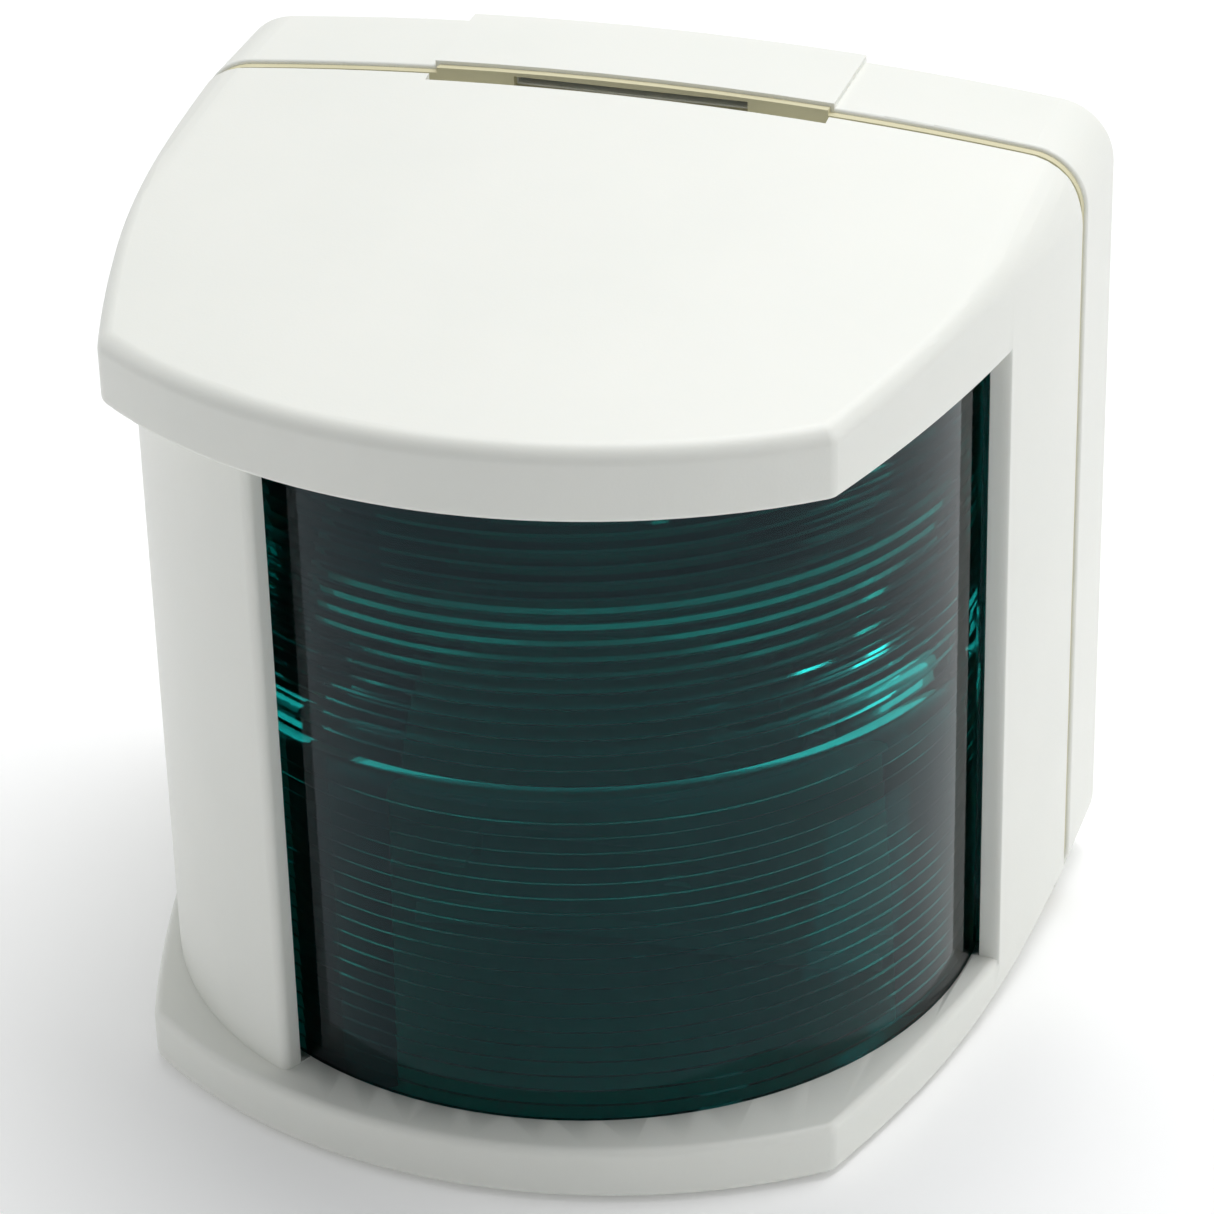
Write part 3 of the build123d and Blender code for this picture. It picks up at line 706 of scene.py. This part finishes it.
@dataclass
class Shroud:
    """Hood, lower plate and both side walls: one moulding that swings down."""

    casing: Casing
    rim_low: float = 34.4
    plate_height: float = 6.5
    hood_round: float = 1.9
    rim_round: float = 0.6
    plate_round: float = 1.0
    blind_centre: tuple[float, float] = (-2.6, -41.0)
    blind_radius: float = 44.3
    blind_edge_angle: float = -115.0
    blind_edge_round: float = 0.9
    ahead_depth: float = 38.0
    ahead_edge_round: float = 1.0
    skin: float = 0.06
    wall_overlap: float = 1.5
    aft_wall_steps: int = 48
    aft_wall_tail: float = 5.0
    frame_reach: float = 2.0
    frame_inset: float = 9.0
    frame_depth: float = 14.0
    ahead_inset: float = 8.0
    edge_steps: int = 6

    def build(self) -> None:
        """Builds the moulding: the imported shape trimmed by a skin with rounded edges."""
        skin = self.hood()
        for part in (self.plate(), self.aft_wall(), self.aft_frame(), self.ahead_wall()):
            skin = combine(skin, part, Cut.JOIN)
        body = combine(merged_copy("front_shroud"), skin, Cut.KEEP)
        body.name = "shroud_moulding"
        even_normals(body)
        dress(body, Slot.HOUSING, Body.SHROUD, "front_shroud")

    def hood(self) -> bpy.types.Object:
        """The hood's skin."""
        bm = PlanBlock(self.casing, self.skin).solid(self.rim_low, None, self.hood_round, self.rim_round)
        return finished("hood", bm)

    def plate(self) -> bpy.types.Object:
        """The lower plate's skin."""
        high = -self.casing.crest + self.plate_height
        bm = PlanBlock(self.casing, self.skin).solid(None, high, self.plate_round, self.plate_round)
        return finished("plate", bm)

    def wall_heights(self) -> tuple[float, float]:
        """Heights between which the walls run, a little inside hood and plate."""
        plate_top = -self.casing.crest + self.plate_height
        return plate_top - self.wall_overlap, self.rim_low + self.wall_overlap

    def aft_wall(self) -> bpy.types.Object:
        """The curved wall of the aft sector, solid to its centre, with a soft free edge."""
        cx, cy = self.blind_centre
        radius = self.blind_radius - self.skin
        low, high = self.wall_heights()
        bm = bmesh.new()
        rim = bm.verts.new((cx + radius, cy, low))
        spin_to = -180.0 - self.blind_edge_angle
        bmesh.ops.rotate(bm, verts=[rim], cent=(cx, cy, 0),
                         matrix=Matrix.Rotation(math.radians(self.blind_edge_angle), 3, "Z"))
        corner = rim
        made = bmesh.ops.spin(bm, geom=[rim], cent=(cx, cy, 0), axis=(0, 0, 1),
                              steps=self.aft_wall_steps, angle=math.radians(spin_to), use_merge=False)
        last = [g for g in made["geom_last"] if isinstance(g, bmesh.types.BMVert)][0]
        tail = bm.verts.new((last.co.x, -self.casing.shroud_back + self.aft_wall_tail, low))
        inner = bm.verts.new((cx, tail.co.y, low))
        centre = bm.verts.new((cx, cy, low))
        loop = bm.edges[:]
        for one, two in ((last, tail), (tail, inner), (inner, centre), (centre, corner)):
            loop.append(bm.edges.new((one, two)))
        bmesh.ops.contextual_create(bm, geom=loop)
        bmesh.ops.bevel(bm, geom=[corner], offset=self.blind_edge_round, segments=self.edge_steps,
                        profile=0.5, affect="VERTICES", material=-1)
        return self.raised("aft_wall", bm, high - low)

    def aft_frame(self) -> bpy.types.Object:
        """The flange behind the aft wall."""
        low, high = self.wall_heights()
        bm = bmesh.new()
        bmesh.ops.create_cube(bm, size=1.0)
        reach = self.casing.half_width + self.frame_reach
        inner = self.casing.half_width - self.frame_inset
        middle = (-(reach + inner) / 2, -self.casing.shroud_back, (low + high) / 2)
        bmesh.ops.scale(bm, vec=(reach - inner, self.frame_depth, high - low), verts=bm.verts)
        bmesh.ops.translate(bm, vec=middle, verts=bm.verts)
        return finished("aft_frame", bm)

    def ahead_wall(self) -> bpy.types.Object:
        """The short flush wall on the ahead side, with a rounded free edge."""
        low, high = self.wall_heights()
        bm = bmesh.new()
        PlanBlock(self.casing, self.skin).plan(bm)
        for place, out in (((0, -self.ahead_depth + self.skin, 0), (0, -1, 0)),
                           ((self.casing.half_width - self.ahead_inset, 0, 0), (-1, 0, 0))):
            bmesh.ops.bisect_plane(bm, geom=bm.verts[:] + bm.edges[:] + bm.faces[:], dist=1e-5,
                                   plane_co=place, plane_no=out, clear_outer=True)
        corner = max(bm.verts, key=lambda v: v.co.x - 4 * v.co.y)
        bmesh.ops.bevel(bm, geom=[corner], offset=self.ahead_edge_round, segments=self.edge_steps,
                        profile=0.5, affect="VERTICES", material=-1)
        bmesh.ops.translate(bm, vec=(0, 0, low), verts=bm.verts)
        return self.raised("ahead_wall", bm, high - low)

    @staticmethod
    def raised(name: str, bm: bmesh.types.BMesh, height: float) -> bpy.types.Object:
        """Pushes a flat face up into a block.

        Args:
            name: The object's name.
            bm: The mesh, with the face, which is freed.
            height: How far it is pushed.

        Returns:
            The block.
        """
        made = bmesh.ops.extrude_face_region(bm, geom=bm.faces[:])["geom"]
        verts = [g for g in made if isinstance(g, bmesh.types.BMVert)]
        bmesh.ops.translate(bm, vec=(0, 0, height), verts=verts)
        return finished(name, bm)


@dataclass
class Lens:
    """The curved green window, smooth outside and cut into prism rings inside."""

    axis: tuple[float, float] = LENS_AXIS
    radius: float = 45.4
    thickness: float = 3.5
    start: float = -122.0
    end: float = 4.0
    focus: float = -4.0
    band_half: float = 2.35
    pitch: float = 1.9
    shallow: float = 0.35
    deep: float = 1.15
    border: float = 1.5
    steps: int = 84
    bulge: float = 0.5
    bulge_steps: int = 6
    crest: float = 0.05
    flank: float = 0.04
    flange_depth: float = 2.5
    flange_front: float = -35.2
    crease: float = 20.0

    def build(self) -> None:
        """Builds the window with its flange."""
        window = finished("prism_window", self.window(), self.crease)
        lens = combine(window, self.flange(), Cut.JOIN)
        lens.data.set_sharp_from_angle(angle=math.radians(self.crease))
        lens.name = "prism_lens"
        dress(lens, Slot.LENS, Body.SHROUD, "lens")

    def heights(self) -> tuple[float, float]:
        """The lens's lower and upper ends."""
        low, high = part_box("lens")
        return low.z / MM, high.z / MM

    def profile(self) -> list[tuple[float, float]]:
        """The section: radius and height of each corner, from the inner foot upwards."""
        low, high = self.heights()
        inner = self.radius - self.thickness
        points = [(self.radius, high), (self.radius, low), (inner, low)]
        points += self.rings(low + self.border, self.focus - self.band_half)
        for i in range(self.bulge_steps + 1):
            t = 2 * i / self.bulge_steps - 1
            points.append((inner + self.bulge * t * t, self.focus + self.band_half * t))
        points += self.rings(high - self.border, self.focus + self.band_half)[::-1]
        points.append((inner, high))
        return points

    def rings(self, far: float, near: float) -> list[tuple[float, float]]:
        """Prism steps between one end of the lens and its middle band.

        Args:
            far: Height of the outer end.
            near: Height of the band's edge.

        Returns:
            Radius and height of each corner, from the outer end inwards.
        """
        count = round(abs(near - far) / self.pitch)
        step = (near - far) / count
        inner = self.radius - self.thickness
        points = [(inner, far)]
        for i in range(count):
            share = 1 - i / count
            depth = self.shallow + (self.deep - self.shallow) * share
            points.append((inner + depth, far + step * (i + self.flank)))
            points.append((inner + self.crest, far + step * (i + 1)))
        return points

    def window(self) -> bmesh.types.BMesh:
        """Spins the section about the lens's axis."""
        x, y = self.axis
        bm = bmesh.new()
        verts = [bm.verts.new((x + r, y, z)) for r, z in self.profile()]
        bm.faces.new(verts)
        bmesh.ops.rotate(bm, verts=bm.verts, cent=(x, y, 0),
                         matrix=Matrix.Rotation(math.radians(self.start), 3, "Z"))
        bmesh.ops.spin(bm, geom=bm.verts[:] + bm.edges[:] + bm.faces[:], cent=(x, y, 0), axis=(0, 0, 1),
                       steps=self.steps, angle=math.radians(self.end - self.start), use_merge=False)
        return bm

    def flange(self) -> bpy.types.Object:
        """The flat flange behind the ahead wall."""
        low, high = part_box("lens")
        bm = bmesh.new()
        bmesh.ops.create_cube(bm, size=1.0)
        inner = self.axis[0] + self.radius - self.thickness
        wide = high.x / MM - inner
        bmesh.ops.scale(bm, vec=(wide, self.flange_depth, (high.z - low.z) / MM), verts=bm.verts)
        middle_y = self.flange_front + self.flange_depth / 2
        middle = (inner + wide / 2, middle_y, (high.z + low.z) / 2 / MM)
        bmesh.ops.translate(bm, vec=middle, verts=bm.verts)
        return finished("flange", bm)


def node_box(node: str) -> tuple[Vector, Vector]:
    """A node's lowest and highest corners, in millimetres."""
    low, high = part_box(node)
    return low / MM, high / MM


def turned(outline: list[tuple[float, float]], steps: int = 48) -> bmesh.types.BMesh:
    """Spins half an outline about the Z axis into a closed shape.

    Args:
        outline: Radius and height of each point, from one end of the axis to the other.
        steps: How many sides the shape has.

    Returns:
        The mesh, with its axis on Z.
    """
    bm = bmesh.new()
    verts = [bm.verts.new((radius, 0, height)) for radius, height in outline]
    for one, two in zip(verts, verts[1:]):
        bm.edges.new((one, two))
    bmesh.ops.spin(bm, geom=bm.verts[:] + bm.edges[:], cent=(0, 0, 0), axis=(0, 0, 1), steps=steps,
                   angle=math.tau, use_merge=True)
    bmesh.ops.remove_doubles(bm, verts=bm.verts, dist=1e-4)
    return bm


def arc(start: float, end: float, centre: tuple[float, float], radius: float,
        steps: int = 6) -> list[tuple[float, float]]:
    """Points of an outline on an arc.

    Args:
        start: Angle of the first point, in degrees.
        end: Angle of the last point.
        centre: Radius and height of the arc's centre.
        radius: The arc's radius.
        steps: How many pieces it has.

    Returns:
        The points.
    """
    angles = [math.radians(start + (end - start) * i / steps) for i in range(steps + 1)]
    return [(centre[0] + radius * math.cos(a), centre[1] + radius * math.sin(a)) for a in angles]


WIRE_SIDES = 8
STEPS_PER_TURN = 20
UPRIGHT = Matrix.Identity(3)
FACING_OUT = Matrix.Rotation(math.pi / 2, 3, "X")


def coil(radius: float, wire: float, length: float, turns: int) -> bmesh.types.BMesh:
    """Winds a wire about the Z axis.

    Args:
        radius: Outside of the coil.
        wire: Radius of the wire.
        length: From the coil's lower end to its upper end.
        turns: How many turns it has.

    Returns:
        The mesh, standing on the XY plane.
    """
    bm = bmesh.new()
    bmesh.ops.create_circle(bm, segments=WIRE_SIDES, radius=wire, cap_ends=True)
    bmesh.ops.rotate(bm, verts=bm.verts, cent=(0, 0, 0), matrix=FACING_OUT)
    bmesh.ops.translate(bm, verts=bm.verts, vec=(radius - wire, 0, wire))
    steps = STEPS_PER_TURN * turns
    bmesh.ops.spin(bm, geom=bm.verts[:] + bm.edges[:] + bm.faces[:], cent=(0, 0, 0), axis=(0, 0, 1),
                   dvec=(0, 0, (length - 2 * wire) / steps), steps=steps, angle=math.tau * turns,
                   use_merge=False)
    return bm


def gathered(meshes: list[bmesh.types.BMesh]) -> bmesh.types.BMesh:
    """Puts several meshes into one.

    Args:
        meshes: The meshes, which are freed.

    Returns:
        The new mesh.
    """
    whole = bmesh.new()
    for bm in meshes:
        part = bpy.data.meshes.new("part")
        bm.to_mesh(part)
        bm.free()
        whole.from_mesh(part)
        bpy.data.meshes.remove(part)
    return whole


def moved(bm: bmesh.types.BMesh, turn: Matrix, place: tuple[float, float, float]) -> bmesh.types.BMesh:
    """Turns a mesh about the origin and then moves it.

    Args:
        bm: The mesh, which is changed.
        turn: How it is turned.
        place: Where its origin goes.

    Returns:
        The same mesh.
    """
    bmesh.ops.transform(bm, matrix=Matrix.Translation(place) @ turn.to_4x4(), verts=bm.verts)
    return bm


@dataclass
class PanScrew:
    """A slotted pan-head screw that stands on its shank's end."""

    shank: float
    head: float
    head_height: float
    slot_width: float = 0.7
    slot_depth: float = 0.7
    bend_share: float = 0.55
    point_share: float = 0.75
    taper_share: float = 0.4
    chamfer: float = 0.12
    crown: float = 0.1
    blade_share: float = 2.4

    def build(self, top: float) -> bpy.types.Object:
        """Builds the screw.

        Args:
            top: Height of the top of its head.

        Returns:
            The screw, standing on the origin.
        """
        bend = self.head_height * self.bend_share
        seat = top - self.head_height
        outline = [(0, 0), (self.shank * self.point_share, 0), (self.shank, self.shank * self.taper_share),
                   (self.shank, seat), (self.head - self.chamfer, seat), (self.head, seat + self.chamfer)]
        outline += arc(0, 90, (self.head - bend, top - bend - self.crown), bend)
        outline.append((0, top))
        blade = bmesh.new()
        bmesh.ops.create_cube(blade, size=1.0)
        across = self.blade_share * self.head
        bmesh.ops.scale(blade, vec=(across, self.slot_width, 2 * self.slot_depth), verts=blade.verts)
        bmesh.ops.translate(blade, vec=(0, 0, top), verts=blade.verts)
        return combine(finished("screw", turned(outline)), finished("blade", blade), Cut.TAKE)


@dataclass
class Fixings:
    """The three pairs of small screws."""

    screen: PanScrew
    bracket: PanScrew
    terminal: PanScrew
    screen_turns: tuple[float, float] = (25.0, -40.0)
    bracket_turns: tuple[float, float] = (12.0, 70.0)
    terminal_turns: tuple[float, float] = (-8.0, 35.0)

    def build(self) -> None:
        """Places a pair of screws for each node."""
        low, high = node_box("screen_screws")
        head = self.screen.head
        ends = [(low.x + head, low.y + head, low.z), (high.x - head, high.y - head, low.z)]
        self.pair("screen_screw_pair", "screen_screws", self.screen.build(high.z - low.z), Body.SHROUD,
                  ends, UPRIGHT, self.screen_turns, Slot.STEEL)
        for name, node, screw, slot, turns in (
            ("bracket_screw_pair", "bracket_screws", self.bracket, Slot.STEEL, self.bracket_turns),
            ("terminal_screw_pair", "terminal_screws", self.terminal, Slot.BRASS, self.terminal_turns),
        ):
            low, high = node_box(node)
            middle = (low.z + high.z) / 2
            ends = [(low.x + screw.head, high.y, middle), (high.x - screw.head, high.y, middle)]
            pattern = screw.build(high.y - low.y)
            self.pair(name, node, pattern, Body.BASE, ends, FACING_OUT, turns, slot)

    @staticmethod
    def pair(
        name: str,
        node: str,
        pattern: bpy.types.Object,
        body: Body,
        ends: list[tuple[float, float, float]],
        turn: Matrix,
        slots: tuple[float, float],
        slot: Slot,
    ) -> None:
        """Builds two like screws as one piece.

        Args:
            name: The piece's name.
            node: The node that it stands for.
            pattern: The screw, standing on the origin, which is removed.
            body: The body that it rides on.
            ends: Where the shanks end.
            turn: How a screw that stands on Z is turned.
            slots: How far round each screw's slot is, in degrees.
            slot: The material slot.
        """
        meshes = []
        for place, angle in zip(ends, slots):
            bm = bmesh.new()
            bm.from_mesh(pattern.data)
            bmesh.ops.scale(bm, vec=(1 / MM, 1 / MM, 1 / MM), verts=bm.verts)
            meshes.append(moved(bm, turn @ Matrix.Rotation(math.radians(angle), 3, "Z"), place))
        bpy.data.objects.remove(pattern)
        dress(finished(name, gathered(meshes)), slot, body, node)


@dataclass
class Bulb:
    """The bayonet bulb's soldered contacts, glass and filament."""

    axis: tuple[float, float] = LENS_AXIS
    glass: float = 0.8
    neck: float = 6.8
    bowl: float = 12.5
    bend_below: float = 4.5
    drop: float = 0.5
    focus: float = -4.0
    contact: float = 1.6
    contact_offset: float = 3.2
    filament: float = 0.4
    filament_wire: float = 0.07
    filament_turns: int = 15
    shoulder_angle: float = 35.0
    bowl_steps: int = 40
    glass_sides: int = 64
    contact_sides: int = 32

    def build(self) -> None:
        """Builds the glass, the contacts and the filament."""
        self.envelope()
        self.contacts()
        self.coiled()

    def outline(self, shrink: float) -> list[tuple[float, float]]:
        """Half of the glass seen from the side.

        Args:
            shrink: How far it is drawn in.

        Returns:
            Radius and height of each point, from the tip to the top of the neck.
        """
        end = node_box("bulb_glass")[1].z
        top, bend = end - shrink, end - self.bend_below
        bowl, neck = self.bowl - shrink, self.neck - shrink
        centre = (0.0, self.focus - self.drop)
        points = arc(-90, self.shoulder_angle, centre, bowl, self.bowl_steps)
        points[0] = (0, centre[1] - bowl)
        rim = [(neck, bend), (neck, top - 0.6), (neck - 0.3, top - 0.15), (neck - 0.8, top), (0, top)]
        return points + rim

    def envelope(self) -> None:
        """The clear envelope, hollow."""
        place = (*self.axis, 0)
        outer = moved(turned(self.outline(0), self.glass_sides), UPRIGHT, place)
        inner = moved(turned(self.outline(self.glass), self.glass_sides), UPRIGHT, place)
        glass = combine(finished("bulb_envelope", outer), finished("hollow", inner), Cut.TAKE)
        dress(glass, Slot.GLASS, Body.BULB, "bulb_glass")

    def contacts(self) -> None:
        """Two domed blobs of solder on the cap."""
        low, high = node_box("bulb_contacts")
        rise = high.z - low.z
        dome = [(0, 0), (self.contact, 0), (self.contact, rise * 0.3), (self.contact * 0.86, rise * 0.7),
                (self.contact * 0.5, rise * 0.95), (0, rise)]
        x, y = self.axis
        places = [(x + side * self.contact_offset, y, low.z) for side in (-1, 1)]
        blobs = [moved(turned(dome, self.contact_sides), UPRIGHT, place) for place in places]
        dress(finished("solder_contacts", gathered(blobs), 50.0), Slot.NICKEL, Body.BULB, "bulb_contacts")

    def coiled(self) -> None:
        """The coiled filament."""
        low, high = node_box("bulb_filament")
        wire = coil(self.filament, self.filament_wire, high.x - low.x, self.filament_turns)
        lying = Matrix.Rotation(math.pi / 2, 3, "Y")
        place = (low.x, (low.y + high.y) / 2, (low.z + high.z) / 2)
        dress(finished("coiled_filament", moved(wire, lying, place), 60.0), Slot.TUNGSTEN, Body.BULB,
              "bulb_filament")


@dataclass
class ContactSprings:
    """Two small coil springs above the contact plungers."""

    radius: float = 1.4
    wire: float = 0.14
    turns: int = 4
    keep: float = 0.43

    def build(self) -> None:
        """Builds the springs."""
        low, high = node_box("plunger_springs")
        middle = (low.y + high.y) / 2
        springs = []
        for x in (low.x + self.radius, high.x - self.radius):
            wire = coil(self.radius, self.wire, high.z - low.z, self.turns)
            springs.append(moved(wire, UPRIGHT, (x, middle, low.z)))
        piece = dress(finished("contact_springs", gathered(springs), 60.0), Slot.STEEL, Body.BASE,
                      "plunger_springs")
        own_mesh(piece)


@dataclass
class Grommet:
    """The soft grommet in the cable's inlet."""

    bore: float = 3.0
    body: float = 5.0
    flange: float = 6.5
    lip: float = 1.2
    edge_round: float = 0.45

    def build(self) -> None:
        """Spins the grommet's section about its axis."""
        low, high = node_box("cable_grommet")
        depth = high.y - low.y
        soft = self.edge_round
        outline = [(self.bore, soft)]
        outline += arc(180, 270, (self.bore + soft, soft), soft)[1:]
        outline += [(self.body - soft, 0), (self.body, soft), (self.body, depth - self.lip)]
        outline += [(self.flange, depth - self.lip)]
        outline += arc(0, 90, (self.flange - soft, depth - soft), soft)
        outline += arc(90, 180, (self.bore + soft, depth - soft), soft)
        outline.append(outline[0])
        place = ((low.x + high.x) / 2, high.y, (low.z + high.z) / 2)
        bm = moved(turned(outline), FACING_OUT, place)
        dress(finished("soft_grommet", bm), Slot.RUBBER, Body.BASE, "cable_grommet")


class CarriedOver:
    """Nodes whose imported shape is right: they keep it and get a finish."""

    def build(self) -> None:
        """Gives every shown node the finish of its slot."""
        for row in frame["record"]["subparts"]:
            node = frame["nodes"][row["node"]]
            if node.hide_render:
                continue
            material = PAINT.get(Slot(row["material_slot"]))
            node.data.materials.clear()
            node.data.materials.append(material)
            LOG.info("%s keeps its packed shape", node.name)


@dataclass
class Studio:
    """Floor, light and camera."""

    eye: tuple[float, float, float] = (0.1515, -0.480, 0.2668)
    yaw: float = 18.52
    pitch: float = -30.15
    roll: float = -1.54
    lens: float = 141.15
    floor_gap: float = 0.0004
    floor_half: float = 4.0
    floor_glow: float = 0.1
    surround: float = 0.36

    def build(self) -> None:
        """Sets everything up."""
        self.floor()
        self.light()
        self.camera()

    def floor(self) -> None:
        """A plain pale floor."""
        bm = bmesh.new()
        bmesh.ops.create_grid(bm, x_segments=1, y_segments=1, size=self.floor_half)
        bmesh.ops.translate(bm, vec=(0, 0, CAD_BOX[0].z - self.floor_gap), verts=bm.verts)
        mesh = bpy.data.meshes.new("floor")
        bm.to_mesh(mesh)
        bm.free()
        floor = shown("floor", mesh)
        sheet = NodeSheet("pale_floor")
        sheet.put(
            Base_Color=sheet.blend(sheet.noise(0.5), (0.93, 0.93, 0.93), (0.95, 0.95, 0.95)),
            Roughness=0.9,
            Specular_IOR_Level=0.1,
            Emission_Color=(1.0, 1.0, 1.0, 1),
            Emission_Strength=self.floor_glow,
        )
        mesh.materials.append(sheet.material)

    def light(self) -> None:
        """A pale surround, a broad key light above and behind, and two softer fills."""
        world = bpy.data.worlds.new("surround")
        world.use_nodes = True
        back = world.node_tree.nodes["Background"]
        back.inputs["Color"].default_value = (0.97, 0.985, 1.0, 1)
        back.inputs["Strength"].default_value = self.surround
        bpy.context.scene.world = world
        bpy.context.scene.view_settings.view_transform = "Standard"
        self.panel("key", (0.12, 0.25, 0.8), 0.7, 6.2)
        self.panel("right", (0.85, 0.1, 0.3), 0.5, 1.3)
        self.panel("left", (-0.85, 0.0, 0.3), 0.5, 1.1)

    @staticmethod
    def panel(name: str, place: tuple[float, float, float], size: float, watts: float) -> None:
        """Adds a square soft light that faces the object.

        Args:
            name: The light's name.
            place: Where it stands, in metres.
            size: Its side, in metres.
            watts: Its power.
        """
        data = bpy.data.lights.new(name, "AREA")
        data.size = size
        data.energy = watts
        light = bpy.data.objects.new(name, data)
        light.location = place
        aim = Vector((0, -0.04, 0)) - Vector(place)
        light.rotation_euler = aim.to_track_quat("-Z", "Y").to_euler()
        bpy.context.scene.collection.objects.link(light)

    def camera(self) -> None:
        """The camera, above and to the right, looking down at the front."""
        yaw, pitch, roll = (math.radians(a) for a in (self.yaw, self.pitch, self.roll))
        ahead = Vector((-math.sin(yaw) * math.cos(pitch), math.cos(yaw) * math.cos(pitch), math.sin(pitch)))
        right = ahead.cross(Vector((0, 0, 1))).normalized()
        up = right.cross(ahead)
        turned_right = right * math.cos(roll) + up * math.sin(roll)
        turned_up = up * math.cos(roll) - right * math.sin(roll)
        data = bpy.data.cameras.new("camera")
        data.lens = self.lens
        data.sensor_width = 36.0
        data.clip_start, data.clip_end = 0.01, 20.0
        camera = bpy.data.objects.new("camera", data)
        rotation = Matrix((turned_right, turned_up, -ahead)).transposed().to_4x4()
        camera.matrix_world = Matrix.Translation(self.eye) @ rotation
        bpy.context.scene.collection.objects.link(camera)
        bpy.context.scene.camera = camera


def main() -> None:
    """Builds the pieces in order."""
    logging.basicConfig(level=logging.INFO, format="%(name)s: %(message)s")
    casing = Casing()
    fixings = Fixings(PanScrew(1.25, 2.4, 1.6), PanScrew(1.5, 2.9, 1.8), PanScrew(1.6, 2.5, 1.4, 0.8))
    lamp = (Bulb(), ContactSprings(), Grommet())
    for part in (Shroud(casing), Lens(), fixings, *lamp, CarriedOver(), Studio()):
        LOG.info("building %s", type(part).__name__)
        part.build()


if __name__ == "__main__":
    main()
